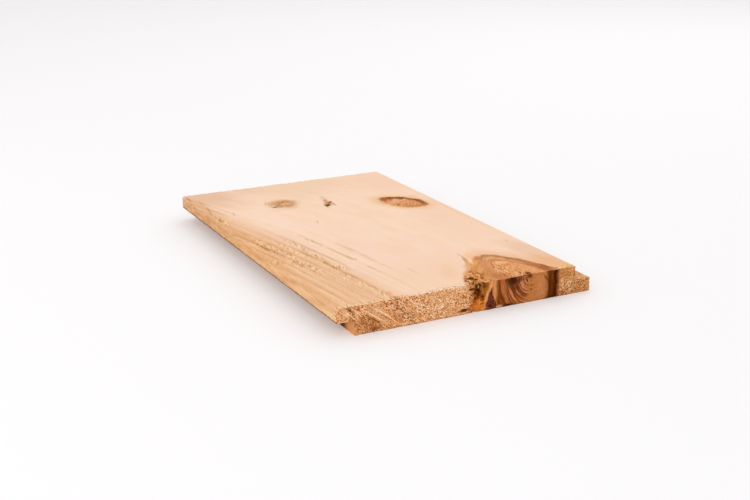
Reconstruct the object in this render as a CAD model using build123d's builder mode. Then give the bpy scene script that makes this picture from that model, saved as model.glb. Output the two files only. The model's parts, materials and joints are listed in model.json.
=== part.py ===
# Shiplap board: a short length of planed pine boarding that shows its face upwards.
# X runs across the board, Y along the grain and Z up through the thickness.
# The origin is at the middle of the underside. The upper lap is on the -X edge and the lower lap on the +X edge.
import os

from build123d import *

# Driving dimensions, in millimetres
board_length = 282.0    # between the two sawn ends
face_width = 172.0      # the width of the face that shows once the boards are laid
thickness = 18.8        # planed, face to back
lap_width = 12.0        # how far each lap reaches past its shoulder
lap_clearance = 0.4     # slack between the two laps of boards laid side by side
face_ease = 0.8         # rounding of the two long arrises of the face
back_ease = 0.5         # rounding of the two long arrises of the back
lap_ease = 0.4          # rounding of the free corner at the tip of each lap

# Sizes that follow from them
board_width = face_width + lap_width
lap_thickness = (thickness - lap_clearance) / 2
rebate_depth = thickness - lap_thickness
upper_lap_edge = -board_width / 2
lower_lap_edge = board_width / 2

with BuildPart() as shiplap_board:
    # The section is the planed blank with one rebate cut into each edge
    with BuildSketch(Plane.XZ) as section:
        Rectangle(board_width, thickness, align=(Align.CENTER, Align.MIN))
        with Locations((lower_lap_edge, thickness)):
            # The rebate in the face leaves the lower lap
            Rectangle(lap_width, rebate_depth, align=(Align.MAX, Align.MAX), mode=Mode.SUBTRACT)
        with Locations((upper_lap_edge, 0)):
            # The rebate in the back leaves the upper lap
            Rectangle(lap_width, rebate_depth, align=(Align.MIN, Align.MIN), mode=Mode.SUBTRACT)

        face_arrises = section.vertices().group_by(Axis.Y)[-1]
        fillet(face_arrises, face_ease)
        back_arrises = section.vertices().group_by(Axis.Y)[0]
        fillet(back_arrises, back_ease)
        upper_lap_tip = section.vertices().group_by(Axis.X)[0].sort_by(Axis.Y)[0]
        lower_lap_tip = section.vertices().group_by(Axis.X)[-1].sort_by(Axis.Y)[-1]
        fillet([upper_lap_tip, lower_lap_tip], lap_ease)
    extrude(amount=board_length / 2, both=True)

shiplap_board.part.label = "shiplap_board"
os.makedirs("parts", exist_ok=True)
export_step(shiplap_board.part, "parts/shiplap_board.step")
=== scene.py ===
import json
import math
import bpy
import numpy as np
from mathutils import Matrix, Vector


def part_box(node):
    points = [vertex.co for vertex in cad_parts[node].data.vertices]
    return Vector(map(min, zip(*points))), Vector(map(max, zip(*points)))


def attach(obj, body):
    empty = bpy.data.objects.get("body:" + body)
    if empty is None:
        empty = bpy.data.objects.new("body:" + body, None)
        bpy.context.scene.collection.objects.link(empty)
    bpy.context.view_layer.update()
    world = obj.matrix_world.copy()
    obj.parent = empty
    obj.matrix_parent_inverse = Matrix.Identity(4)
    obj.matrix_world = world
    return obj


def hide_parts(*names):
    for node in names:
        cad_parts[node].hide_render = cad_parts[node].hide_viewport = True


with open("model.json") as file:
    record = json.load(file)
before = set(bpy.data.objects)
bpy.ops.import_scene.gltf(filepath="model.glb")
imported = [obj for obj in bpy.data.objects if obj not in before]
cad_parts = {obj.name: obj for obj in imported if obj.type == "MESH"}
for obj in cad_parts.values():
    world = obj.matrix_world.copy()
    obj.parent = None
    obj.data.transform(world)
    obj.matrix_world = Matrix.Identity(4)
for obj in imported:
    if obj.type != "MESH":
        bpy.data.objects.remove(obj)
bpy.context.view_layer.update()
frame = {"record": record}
print("frame loaded")

# Sizes of the board in millimetres, all taken from the frame: x across, y along the grain, z up
mm = 0.001
boardLow, boardHigh = [np.array(corner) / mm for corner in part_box("shiplap_board")]
seats = {seat["name"]: np.array(seat["pos_m"]) / mm for seat in frame["record"]["mounts"]}
leftSide, nearEnd, underside = boardLow
rightSide, farEnd, faceTop = boardHigh
lapTop = seats["lower_lap_seat"][2]
lapBottom = seats["upper_lap_seat"][2]
rightShoulder = seats["face_shoulder"][0]
leftShoulder = leftSide + rightSide - rightShoulder


# Shader arithmetic. A wire is a socket that adds and multiplies like a number, one Math node each time,
# so the fields further down take either wires, for the colours, or numpy arrays, for the relief.
class Wire:
    tree = None

    def __init__(self, socket):
        self.socket = socket

    def __add__(self, other):
        return mathNode("ADD", self, other)

    def __mul__(self, other):
        return mathNode("MULTIPLY", self, other)

    def __sub__(self, other):
        return mathNode("SUBTRACT", self, other)

    def __rsub__(self, other):
        return mathNode("SUBTRACT", other, self)

    def __truediv__(self, other):
        return mathNode("DIVIDE", self, other)

    __radd__ = __add__
    __rmul__ = __mul__


def plug(place, value):  # a wire is linked, a plain value is set
    if isinstance(value, Wire):
        Wire.tree.links.new(value.socket, place)
    else:
        place.default_value = value


def newNode(kind, *values, **settings):  # a shader node with its settings made and its first inputs plugged
    node = Wire.tree.nodes.new("ShaderNode" + kind)
    for name, setting in settings.items():
        setattr(node, name, setting)
    for place, value in zip(node.inputs, values):
        plug(place, value)
    return node


def mathNode(operation, *values):  # one sum, product or other function of the values
    return Wire(newNode("Math", *values, operation=operation).outputs[0])


def either(operation, onArray, *values):  # a Math node where a wire comes in, and numpy's function elsewhere
    if any(isinstance(value, Wire) for value in values):
        return mathNode(operation, *values)
    return onArray(*values)


def root(value):  # square root
    return either("SQRT", np.sqrt, value)


def exponential(value):  # e to the power of the value
    return either("EXPONENT", np.exp, value)


def power(value, exponent):  # value to the power of the exponent
    return either("POWER", np.power, value, exponent)


def unsigned(value):  # without its sign
    return either("ABSOLUTE", np.abs, value)


def sine(value):
    return either("SINE", np.sin, value)


def larger(first, second):  # the larger of two values
    return either("MAXIMUM", np.maximum, first, second)


def scaled(value, factor, offset):  # value times factor plus offset
    if isinstance(value, Wire):
        return mathNode("MULTIPLY_ADD", value, factor, offset)
    return value * factor + offset


def bell(value, middle=0.0, width=1.0):  # e to the power of minus the square of the steps from the middle
    steps = scaled(value, 1.0 / width, -middle / width)
    return exponential(steps * steps * -1.0)


def rise(start, end, value, low=0.0, high=1.0):  # smooth step from low at start to high at end
    if isinstance(value, Wire):
        node = newNode("MapRange", value, start, end, low, high, interpolation_type="SMOOTHSTEP")
        return Wire(node.outputs[0])
    share = np.clip((value - start) / (end - start), 0.0, 1.0)
    return low + (high - low) * share * share * (3.0 - 2.0 * share)


def fall(start, end, value, high=1.0):  # the same step, going down to nought
    return rise(start, end, value, high, 0.0)


def offLine(value):  # distance to the nearest whole number
    return either("PINGPONG", lambda number, half: np.abs(number - np.round(number)), value, 0.5)


def vector(x, y, z):  # three values as one vector
    return Wire(newNode("CombineXYZ", x, y, z).outputs[0])


# Noises of the wood: ripples per millimetre along each axis, detail, roughness, and a shift to part them
noises = {
    "wander": ((0.03, 0.01, 0.03), 2, 0.5, 3),
    "waver": ((0.2, 0.05, 0.2), 2, 0.5, 9),
    "fine": ((1.3, 0.02, 1.3), 3, 0.6, 1),
    "patch": ((0.05, 0.02, 0.05), 2, 0.5, 8),
    "cloud": ((0.1, 0.03, 0.1), 3, 0.55, 15),
    "streak": ((0.38, 0.012, 0.38), 3, 0.6, 21),
    "breakUp": ((0.14, 0.06, 0.14), 2, 0.5, 11),
    "fibre": ((1.1, 0.2, 1.1), 2, 0.6, 13),
    "mottle": ((0.5, 0.24, 0.5), 3, 0.65, 17),
    "fleck": ((0.85, 0.17, 0.5), 2, 0.6, 35),
    "chips": ((0.85, 0.3, 0.85), 2, 0.6, 43),
    "clump": ((0.46, 0.26, 0.4), 3, 0.65, 29),
    "curl": ((0.11, 0.07, 0.11), 2, 0.5, 23),
    "strands": ((0.5, 0.13, 0.3), 3, 0.65, 27),
    "branchStreak": ((0.7, 0.07, 1.0), 2, 0.6, 49),
    "speck": ((1.6, 0.62, 0.4), 1, 0.6, 2),
    "grit": ((1.6, 0.9, 1.5), 1, 0.5, 6),
    "endPatch": ((0.09, 0.05, 0.09), 2, 0.5, 4),
    "endCurl": ((0.24, 0.12, 0.2), 3, 0.6, 31),
    "fray": ((0.9, 0.2, 0.28), 3, 0.65, 37),
    "arc": ((1.75, 0.09, 1.0), 1, 0.6, 45),
    "bits": ((0.85, 0.3, 0.75), 2, 0.6, 53),
}


def noise(name, place):  # the named noise, 0 to 1 and mostly near a half
    scales, detail, roughness, shift = noises[name]
    offset = (shift, shift * 0.7, shift * 1.3)
    stretched = newNode("VectorMath", place, scales, offset, operation="MULTIPLY_ADD")
    node = newNode("TexNoise")
    plug(node.inputs["Vector"], Wire(stretched.outputs[0]))
    node.inputs["Scale"].default_value = 1.0
    node.inputs["Detail"].default_value = detail
    node.inputs["Roughness"].default_value = roughness
    return Wire(node.outputs["Fac"])


def tint(red, green, blue):  # a colour as a paint program shows it, 0 to 255, made linear
    share = np.array([red, green, blue]) / 255.0
    linear = np.where(share > 0.04045, ((share + 0.055) / 1.055) ** 2.4, share / 12.92)
    return (*linear.tolist(), 1.0)


def blend(first, second, share):  # from the first colour to the second
    node = newNode("Mix", share, data_type="RGBA")
    plug(node.inputs[6], first)
    plug(node.inputs[7], second)
    return Wire(node.outputs[2])


def brighten(colour, factor):  # the colour times the factor
    node = newNode("VectorMath", colour, operation="SCALE")
    plug(node.inputs["Scale"], factor)
    return Wire(node.outputs[0])


def colourRamp(value, stops):  # stops are (value, colour) in rising order
    low, high = stops[0][0], stops[-1][0]
    node = newNode("ValToRGB", (value - low) / (high - low))
    ends = node.color_ramp.elements
    for number, (at, colour) in enumerate(stops):
        stop = ends[number] if number < 2 else ends.new((at - low) / (high - low))
        if number < 2:
            stop.position = (at - low) / (high - low)
        stop.color = tint(*colour)
    return Wire(node.outputs[0])


def newMaterial(name):  # an empty node material with one shader
    material = bpy.data.materials.new(name)
    material.use_nodes = True
    Wire.tree = material.node_tree
    Wire.tree.nodes.clear()
    shader = newNode("BsdfPrincipled")
    newNode("OutputMaterial", Wire(shader.outputs[0]))
    return material, shader


def boardPlace():  # Object coordinates in millimetres, as a vector and as x, y, z
    place = brighten(Wire(newNode("TexCoord").outputs["Object"]), 1.0 / mm)
    return (place, *(Wire(part) for part in newNode("SeparateXYZ", place).outputs))


def bumped(shader, height, distance, strength):  # height is 0 to 1 over the distance in millimetres
    node = newNode("Bump")
    plug(node.inputs["Height"], height)
    node.inputs["Distance"].default_value = distance * mm
    node.inputs["Strength"].default_value = strength
    Wire.tree.links.new(node.outputs[0], shader.inputs["Normal"])


# The tree that the board was cut from: its pith runs above the face and drifts across the board
figure = {
    "pithAcross": -5.0,
    "pithAbove": 75.0,
    "driftStart": 18.0,  # where along the board the pith lies straight above pithAcross
    "driftMost": 45.0,
    "driftReach": 220.0,
    "ringWidth": 5.3,
    "clearRing": 113.1,  # radius of the clearest year on the face
    "leftHalf": (-25.0, 5.0),  # across the pith, where the figure of the left half ends
    "warmYears": (91.0, 107.0),  # radius over which the wood turns warm
}

# Branches cut through as knots: middle on the face, radius across the branch, and how far the branch
# leans across and along the board for each millimetre of depth
knots = {
    "grey": {"across": -30.5, "along": 84.5, "radius": 12.2, "lean": (-0.30, -0.25)},
    "red": {"across": 53.5, "along": 46.5, "radius": 12.3, "lean": (0.68, -1.02)},
    "branch": {
        "across": 38.5, "along": -141.0, "radius": 26.8, "lean": (0.0, -1.42),
        "leftReach": 18.5,  # it grew off centre, and reaches less far to the left of its middle
        "pithAcross": 46.0,
        "outlinePower": 1.5,  # 1 is a diamond and 2 a circle
    },
}
rimWaves = ((0.11, 0.31, 0.035), (0.37, -0.09, 0.04))  # turns with x and with y, and size over the radius


def acrossPith(x, y):
    # distance across the board from the pith, which drifts right towards the near end and slows down
    # as one less a power of e
    drift = (1.0 - exponential((y - figure["driftStart"]) / figure["driftReach"])) * figure["driftMost"]
    return x - drift - figure["pithAcross"]


def trunkRadius(x, y, z):  # distance from the pith
    across = acrossPith(x, y)
    down = z - (faceTop + figure["pithAbove"])
    return root(across * across + down * down)


def ringCount(radius):  # whole numbers fall on the hard late wood of each year
    return (radius - figure["clearRing"]) / figure["ringWidth"]


def knotRadius(knot, x, y, z):
    # distance from the branch's slanting axis over its radius, so the rim is at 1; two slow waves
    # keep the rim from being a true circle
    waveX, waveY = (sine(x * turnX + y * turnY) * (size * knot["radius"]) for turnX, turnY, size in rimWaves)
    dx = x - knot["across"] + waveX
    dy = y - knot["along"] + waveY
    dz = z - faceTop
    leanX, leanY = knot["lean"]
    length = math.sqrt(leanX * leanX + leanY * leanY + 1.0)
    ahead = (dx * leanX + dy * leanY - dz) / length
    return root(dx * dx + dy * dy + dz * dz - ahead * ahead) / knot["radius"]


def branchRim(x, y, z):
    # distance below the big branch's axis and beside it, each over the radius, joined by a power
    # between a diamond's and a circle's, so that the branch comes to a blunt point on the face
    knot = knots["branch"]
    lean, bend = -knot["lean"][1], knot["outlinePower"]
    below = (y - knot["along"] - (z - faceTop) * lean) / math.sqrt(1.0 + lean * lean)
    side = x - knot["across"]
    beside = larger(side / knot["radius"], side / -knot["leftReach"])
    below = larger(below, 0.0) / knot["radius"]
    return power(power(beside, bend) + power(below, bend), 1.0 / bend)


def oval(x, y, across, along, wide, long, lean):
    # distance from a point over the half axes of an oval that leans across as it goes along
    dx = scaled(x, 1.0 / wide, scaled(y, -lean / wide, (along * lean - across) / wide))
    dy = scaled(y, 1.0 / long, -along / long)
    return root(scaled(dx, dx, dy * dy))


# The line across the board where the branch's torn bark starts, and how far the curly grain reaches from it
crotch = {
    "right": 26.0,
    "sweep": 29.0,  # how far left it comes towards the near end
    "sweepAlong": (-145.0, -87.0),
    "undercut": 0.2,  # further left for each millimetre below the face
    "curlyTo": (36.0, 42.0),
    "curlyAlong": (-104.0, -90.0),
}


def crotchEdge(y, z):  # a smooth step to the left towards the near end, less a share of the depth
    swept = crotch["right"] - fall(*crotch["sweepAlong"], y) * crotch["sweep"]
    return swept - (faceTop - z) * crotch["undercut"]


# The board itself. The surface is a grid of lines through the solid, closer where the relief is, with
# the arrises rounded and the relief sunk below the planed faces
boardShape = {
    "faceEase": 0.8,
    "backEase": 0.5,
    "lapEase": 0.4,
    "lineGap": 0.66,
    "wallGap": 0.62,
    "endGap": 0.5,
    "figuredGap": 1.1,  # along the branch and the knots
    "plainGap": 2.4,
    "nearRim": 4.0,
    "farRim": 2.0,
    "branchTo": -75.0,
    "knotsFrom": 20.0,
    "knotsTo": 106.0,
    "coarseStep": 4,  # the sides and the back keep every fourth line along the board
    "endFuzz": 0.4,
    "chippedArris": 0.7,
    "chipReach": 1.3,
    "barkPocket": 2.8,
    "knotGroove": 0.4,
    "branchGroove": 0.24,
    "grooveAt": 0.93,  # share of the knot's radius
    "pinHole": 1.5,
    "faceFade": 6.0,  # how far behind its surface the relief fades out, so that no lines cross
    "nearFade": 8.0,
    "farFade": 4.0,
    "sharpAngle": 40,
}


def spacedLines(stops, gaps, multiple=1):  # even lines between each two stops, about a gap apart
    runs = []
    for start, end, gap in zip(stops, stops[1:], gaps):
        count = max(1, round((end - start) / gap / multiple)) * multiple
        runs.append(np.linspace(start, end, count + 1)[:-1])
    return np.append(np.concatenate(runs), stops[-1])


def valueNoise(u, v, seed):  # random heights on a unit grid, joined by smooth steps both ways
    heights = np.random.default_rng(seed).random((256, 256))
    column, row = np.floor(u).astype(int), np.floor(v).astype(int)
    du, dv = u - column, v - row
    du, dv = du * du * (3 - 2 * du), dv * dv * (3 - 2 * dv)
    pick = lambda a, b: heights[(column + a) % 256, (row + b) % 256]
    near = pick(0, 0) * (1 - du) + pick(1, 0) * du
    far = pick(0, 1) * (1 - du) + pick(1, 1) * du
    return near * (1 - dv) + far * dv


# Rough surfaces, two layers of noise each: sizes in millimetres, shifts and share
reliefLayers = {
    "tornBark": ((2.6, 4.2, 40, 70, 0.7), (1.1, 1.6, 0, 90, 0.3)),
    "chips": ((1.5, 9.0, 30, 12, 0.6), (0.8, 5.0, 80, 40, 0.4)),
    "sawnFibre": ((1.15, 1.15, 20, 20, 0.6), (0.7, 0.7, 0, 50, 0.4)),
    "barkPocket": ((2.2, 3.4, 10, 30, 0.65), (1.0, 1.3, 0, 60, 0.35)),
}

pinHoles = (  # across, along, half width, half length, lean and share of the full depth
    (-1.8, 65.5, 1.7, 3.8, 0.28, 1),
    (3.2, 72, 1.5, 2.8, 0.4, 0.5),
)


def layeredNoise(name, u, v, seed):  # the layers added up by their shares, each with the next seed
    return sum(valueNoise(u / wide + shiftU, v / long + shiftV, seed + number) * share
               for number, (wide, long, shiftU, shiftV, share) in enumerate(reliefLayers[name]))


def redSide(x, y):  # millimetres from the red knot's middle towards its dark far right side
    return (x - knots["red"]["across"]) * 0.83 + (y - knots["red"]["along"]) * 0.55


def faceRelief(x, y):
    # depth below the planed face: a groove along the knots' rims, two pin holes, torn bark by the branch
    # and chips off the end arrises, each a bell or a smooth step of its distance field
    shape, reach = boardShape, boardShape["chipReach"]
    z = np.full_like(x, faceTop)
    red = knotRadius(knots["red"], x, y, z)
    branch = branchRim(x, y, z)
    depth = shape["knotGroove"] * bell(red, shape["grooveAt"], 0.09) * rise(-4.0, 8.0, redSide(x, y))
    depth += shape["branchGroove"] * bell(branch, shape["grooveAt"], 0.06) * rise(36.0, 46.0, x)
    for *hole, share in pinHoles:
        depth += shape["pinHole"] * share * fall(0.5, 1.0, oval(x, y, *hole))
    torn = rise(0.0, 4.0, x - crotchEdge(y, z)) * fall(12.0, 20.0, x) * fall(-126.0, -112.0, y)
    deeper = shape["barkPocket"] * (0.35 + 0.45 * fall(-141.0, -131.0, y))  # towards the end
    depth += deeper * torn * rise(0.42, 0.8, layeredNoise("tornBark", x, y, 5))
    atEnds = fall(0.0, reach, y - nearEnd) * rise(0.90, 1.08, branch) + fall(0.0, reach, farEnd - y)
    return depth + shape["chippedArris"] * rise(0.42, 0.85, layeredNoise("chips", x, y, 7)) * atEnds


def endRelief(x, z, seed):
    # depth of the sawn end: fine torn fibres, less on the hard late wood of each ring
    rings = ringCount(trunkRadius(x, np.full_like(x, nearEnd), z))
    soft = 0.35 + 0.65 * rise(0.08, 0.2, offLine(rings))
    return boardShape["endFuzz"] * rise(0.35, 0.8, layeredNoise("sawnFibre", x, z, seed)) * soft


def barkRelief(x, z):
    # depth of the bark pocket on the near end, a clumpy hollow between the crotch line and the branch
    edge = crotchEdge(np.full_like(x, nearEnd), z) + 3.0
    pocket = rise(0.5, 3.0, x - edge) * fall(8.0, 12.0, x + (faceTop - z) * crotch["undercut"])
    return boardShape["barkPocket"] * pocket * rise(0.3, 0.75, layeredNoise("barkPocket", x, z, 11))


def roundArris(x, z, corner, ease):
    # square to disc: points in the corner's square move onto circles about its inner corner
    signX, signZ = np.sign(corner[2:])
    dx = (x - (corner[0] - signX * ease)) * signX
    dz = (z - (corner[1] - signZ * ease)) * signZ
    inside = (dx > 0) & (dz > 0)
    shrink = np.where(inside, np.maximum(dx, dz) / np.maximum(np.hypot(dx, dz), 1e-9), 1.0)
    x[:] = np.where(inside, x + signX * dx * (shrink - 1), x)
    z[:] = np.where(inside, z + signZ * dz * (shrink - 1), z)


def boardSurface():
    # lattice numbers of each flat side of the section, as quads, then their places in millimetres
    shape = boardShape
    step, gap, wall = shape["coarseStep"], shape["lineGap"], shape["wallGap"]
    faceEase, backEase, lapEase = shape["faceEase"], shape["backEase"], shape["lapEase"]
    acrossLines = spacedLines(
        (leftSide, leftSide + faceEase, leftShoulder, leftShoulder + backEase, rightShoulder - faceEase,
         rightShoulder, rightSide - backEase, rightSide - lapEase, rightSide),
        (faceEase / 4, gap, backEase / 2, gap, faceEase / 3, gap, backEase - lapEase, lapEase / 2))
    upLines = spacedLines(
        (underside, underside + backEase, lapTop - lapEase, lapTop, lapBottom, lapBottom + lapEase,
         faceTop - faceEase, faceTop),
        (backEase / 2, wall, lapEase / 2, lapBottom - lapTop, lapEase / 2, wall, faceEase / 3))
    alongLines = spacedLines(
        (nearEnd, nearEnd + shape["nearRim"], shape["branchTo"], shape["knotsFrom"], shape["knotsTo"],
         farEnd - shape["farRim"], farEnd),
        [shape[name + "Gap"] for name in ("end", "figured", "plain", "figured", "plain", "end")], step)
    lineCounts = [len(acrossLines), len(alongLines), len(upLines)]
    across, along, up = (np.arange(count) for count in lineCounts)
    few, last = along[::step], up[-1]
    atLeft, atRight = (int(np.argmin(abs(acrossLines - place))) for place in (leftShoulder, rightShoulder))
    atLap, atRebate = (int(np.argmin(abs(upLines - place))) for place in (lapTop, lapBottom))
    key = lambda i, j, k: (i * lineCounts[1] + j) * lineCounts[2] + k

    def sheet(rows, columns, order, axis, line):  # quads that face along columns x rows
        grid = key(**{order[0]: rows[:, None], order[1]: columns[None, :], axis: line})
        return np.stack([grid[:-1, :-1], grid[:-1, 1:], grid[1:, 1:], grid[1:, :-1]], -1).reshape(-1, 4)

    sides = (  # rows, columns, the axes they run along, and the axis that stays on one line
        (along, across[:atRight + 1], "ji", "k", last),  # face
        (few, across[atRight:], "ji", "k", atLap),  # top of the lower lap
        (across[atLeft:], few, "ij", "k", 0),  # back
        (across[:atLeft + 1], few, "ij", "k", atRebate),  # underside of the upper lap
        (up[:atLap + 1], few, "kj", "i", across[-1]),  # edge of the lower lap
        (up[atLap:-1], few, "kj", "i", atRight),  # face shoulder
        (few, up[atRebate:-1], "jk", "i", 0),  # edge of the upper lap
        (few, up[:atRebate + 1], "jk", "i", atLeft),  # back shoulder
    )
    ends = []
    for left, right, low, high in (  # upper lap, middle and lower lap
        (0, atLeft, atRebate, last), (atLeft, atRight, 0, last), (atRight, across[-1], 0, atLap),
    ):
        wide, tall = across[left:right + 1], up[low:high + 1]
        ends.append(sheet(tall, wide, "ki", "j", 0))  # near end
        ends.append(sheet(wide, tall, "ik", "j", along[-1]))  # far end

    # the row under each face arris takes the face's close lines on top and the sides' few lines below
    start, run = few[:-1, None], np.arange(step + 1)[None, :]
    leftRow = np.hstack([key(0, start, last - 1), key(0, start + run, last), key(0, start + step, last - 1)])
    rightRow = np.hstack([key(atRight, start, last - 1), key(atRight, start + step, last - 1),
                          key(atRight, start + run[:, ::-1], last)])

    parts = (np.concatenate([sheet(*side) for side in sides]), leftRow, rightRow, np.concatenate(ends))
    used, flat = np.unique(np.concatenate([part.ravel() for part in parts]), return_inverse=True)
    cuts = np.cumsum([part.size for part in parts[:-1]])
    faces = [corners.reshape(part.shape) for corners, part in zip(np.split(flat, cuts), parts)]
    i, j, k = np.unravel_index(used, lineCounts)
    return acrossLines[i], alongLines[j], upLines[k], faces


def makeBoard():  # the rounded section, with the relief taken off the face and the ends
    shape = boardShape
    x, y, z, faces = boardSurface()
    for corner, ease in (
        ((leftSide, faceTop, -1, 1), "faceEase"),
        ((rightShoulder, faceTop, 1, 1), "faceEase"),
        ((leftShoulder, underside, -1, -1), "backEase"),
        ((rightSide, underside, 1, -1), "backEase"),
        ((rightSide, lapTop, 1, 1), "lapEase"),
        ((leftSide, lapBottom, -1, -1), "lapEase"),
    ):
        roundArris(x, z, corner, shape[ease])
    sunk = faceRelief(x, y) * np.clip(1 - (faceTop - z) / shape["faceFade"], 0, 1)
    nearDepth = np.maximum(endRelief(x, z, 21), barkRelief(x, z))
    nearDepth *= np.clip(1 - (y - nearEnd) / shape["nearFade"], 0, 1) ** 2
    farDepth = endRelief(x, z, 31) * np.clip(1 - (farEnd - y) / shape["farFade"], 0, 1) ** 2
    places = np.stack([x, y + nearDepth - farDepth, z - sunk], -1) * mm
    mesh = bpy.data.meshes.new("shiplapBoard")
    mesh.from_pydata(places.tolist(), [], [face for part in faces for face in part.tolist()])
    slots = np.zeros(len(mesh.polygons), dtype=np.int32)
    slots[-len(faces[3]):] = 1  # the two ends come last
    mesh.polygons.foreach_set("material_index", slots)
    mesh.polygons.foreach_set("use_smooth", np.ones(len(slots), dtype=bool))
    mesh.set_sharp_from_angle(angle=math.radians(shape["sharpAngle"]))
    mesh.update()
    piece = bpy.data.objects.new("shiplapBoard", mesh)
    bpy.context.scene.collection.objects.link(piece)
    triangles = sum(len(polygon.vertices) - 2 for polygon in mesh.polygons)
    print("board made,", len(mesh.vertices), "vertices,", triangles, "triangles")
    return piece


def makeBlotGroup():
    # share of one oval of colour, as a node group: full inside, falling to nought over a soft ragged edge
    group = bpy.data.node_groups.new("blot", "ShaderNodeTree")
    names = ("x", "y", "ragged", "across", "along", "wide", "long", "lean", "share", "within")
    for name in names:
        group.interface.new_socket(name, in_out="INPUT", socket_type="NodeSocketFloat")
    group.interface.new_socket("result", in_out="OUTPUT", socket_type="NodeSocketFloat")
    Wire.tree = group
    sockets = group.nodes.new("NodeGroupInput").outputs[:len(names)]
    x, y, ragged, across, along, wide, long, lean, share, within = (Wire(socket) for socket in sockets)
    dy = y - along
    dx = (x - across - dy * lean) / wide
    dy = dy / long
    edge = root(dx * dx + dy * dy) + ragged
    plug(group.nodes.new("NodeGroupOutput").inputs[0], fall(0.3, 1.3, edge, share) * within)
    return group


blotGroup = makeBlotGroup()


def addBlots(wood, x, y, ragged, blots, within):
    # each blot in turn: across, along, half width, half length, lean, colour and share
    for *shape, colour, share in blots:
        node = newNode("Group", x, y, ragged, *shape, share, within, node_tree=blotGroup)
        wood = blend(wood, tint(*colour), Wire(node.outputs[0]))
    return wood


# The planed faces
planed = {
    "sapwood": tint(250, 217, 191),
    "rosy": tint(250, 211, 190),
    "tan": tint(245, 209, 177),
    "heartwood": tint(237, 190, 151),
    "lateWood": tint(184, 128, 80),
    "earlyWood": tint(253, 214, 166),
    "fibreLight": tint(255, 214, 168),
    "fibreDark": tint(168, 112, 62),
    "streakLight": tint(251, 208, 166),
    "streakDark": tint(222, 166, 116),
    "edge": tint(235, 173, 117),
    "edgeFar": tint(214, 153, 105),
    "edgeNear": tint(241, 189, 141),
    "edgeLight": tint(253, 206, 152),
    "edgeDark": tint(210, 142, 88),
    # the back shoulder, painted lighter as if lit
    "shoulder": tint(240, 164, 102),
    # painted shade under the upper lap
    "underLapShade": tint(104, 52, 20),
    # the lower lap's rough top, darker with painted shade
    "lapTop": tint(210, 150, 102),
    "roughShadedLap": (-115.0, -95.0),  # along the board, where the rough end of the lower lap's top, with its painted shade, fades out
    "roughness": 0.66,
    "specular": 0.03,
    "bumpHeight": 0.12,
}

# Dark growth lines that show on the face: radius from the pith, strength, half width, and the middle
# and reach of the stretch along the board where each is clear
growthLines = (
    (123.6, 0.3, 0.7, -105, 40),
    (118.4, 0.35, 0.7, -70, 50),
    (113.1, 0.7, 0.75, -8, 42),
    (110.4, 0.28, 0.45, -60, 60),
    (107.9, 0.45, 0.7, -24, 44),
    (102.7, 0.72, 0.8, -78, 76),
    (97.1, 0.45, 0.7, -28, 44),
    (93.6, 0.22, 0.45, -80, 50),
    (90.1, 0.5, 0.7, -50, 62),
    (84.9, 0.35, 0.7, -45, 46),
    (97.6, 0.4, 0.6, 104, 26),
    (93.4, 0.3, 0.55, 98, 30),
)

tornPatches = (  # fuzzy grain: across, along, half width, half length and lean
    (-84, -8, 3, 22, -0.08),
    (-77.5, -52, 4, 15, -0.15),
    (-73, -64, 3.6, 14, -0.15),
    (-60.5, -50, 2.6, 30, -0.1),
    (-56.5, -73, 4, 11, -0.1),
    (-60, -91, 2.6, 8, 0.2),
    (-58, -108, 2.4, 8, 0.3),
    (-53.5, -130, 3, 16, -0.1),
    (-63, -16, 2.6, 16, -0.15),
    (-70, -22, 2, 20, -0.15),
    (-89, -44, 3, 9, 0),
    (-77, -26, 2.6, 24, -0.17),
    (-88, 66, 2.4, 22, 0),
)

# Broad tones of the face: across, along, half width, half length, lean, colour and share
broadTones = (
    (-82, 132, 42, 44, 0, (226, 184, 150), 0.75),
    (0, 132, 52, 40, 0, (238, 202, 168), 0.6),
    (-91, 78, 9, 60, 0, (226, 172, 126), 0.8),
    (-88, -8, 15, 52, -0.1, (226, 166, 112), 0.75),
    (-91, -100, 7, 60, 0, (232, 176, 128), 0.7),
    (-66, -3, 8, 16, 0, (248, 198, 172), 0.6),
    (-52, 48, 13, 32, 0, (250, 222, 199), 0.6),
    (42, -40, 14, 34, 0.2, (250, 222, 198), 0.5),
    (71, -100, 12, 34, 0, (234, 192, 160), 0.65),
    (72, -130, 12, 20, 0, (234, 172, 116), 0.62),
    (78, 10, 5, 60, 0, (240, 200, 168), 0.5),
    (-5, -112, 42, 40, 0, (246, 207, 176), 0.6),
    (58, -15, 24, 60, 0.2, (245, 207, 178), 0.5),
    (64, 112, 26, 40, 0, (245, 203, 176), 0.55),
)

sapFlecks = (  # short resin streaks
    (-26.8, 28, 1.1, 5.4, 0.32, (214, 176, 144), 0.55),
    (-74, 75, 0.9, 4.4, 0.2, (206, 166, 132), 0.65),
    (-14.5, 87, 0.6, 2.6, 0.4, (222, 184, 150), 0.6),
    (-18.4, -100, 0.8, 7, -0.05, (214, 178, 142), 0.5),
    (70, -75, 0.9, 4, 0.3, (222, 180, 148), 0.5),
    (-49.5, -13, 0.9, 4, 0.2, (206, 156, 122), 0.6),
    (-51, -8, 1, 3, 0, (204, 166, 128), 0.6),
    (-46.5, -27, 1, 4, 0.2, (252, 214, 176), 0.6),
    (-51.8, -18, 1.1, 3, 0.3, (255, 218, 190), 0.7),
    (-40, -62, 0.9, 2.4, 0.3, (204, 162, 124), 0.6),
    (-87, 93.5, 0.9, 9, 0.12, (190, 140, 92), 0.75),
    (-85.6, 115, 0.8, 8, 0.1, (200, 152, 112), 0.6),
    (-88.4, 66, 0.9, 3.6, 0.2, (168, 112, 60), 0.8),
    (-87, 57, 1.2, 6, 0.2, (255, 210, 156), 0.8),
    (-88.9, 82, 0.9, 2.4, 0, (186, 134, 84), 0.7),
    (-90.6, 130, 1.3, 9, 0, (196, 128, 70), 0.75),
)

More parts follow.
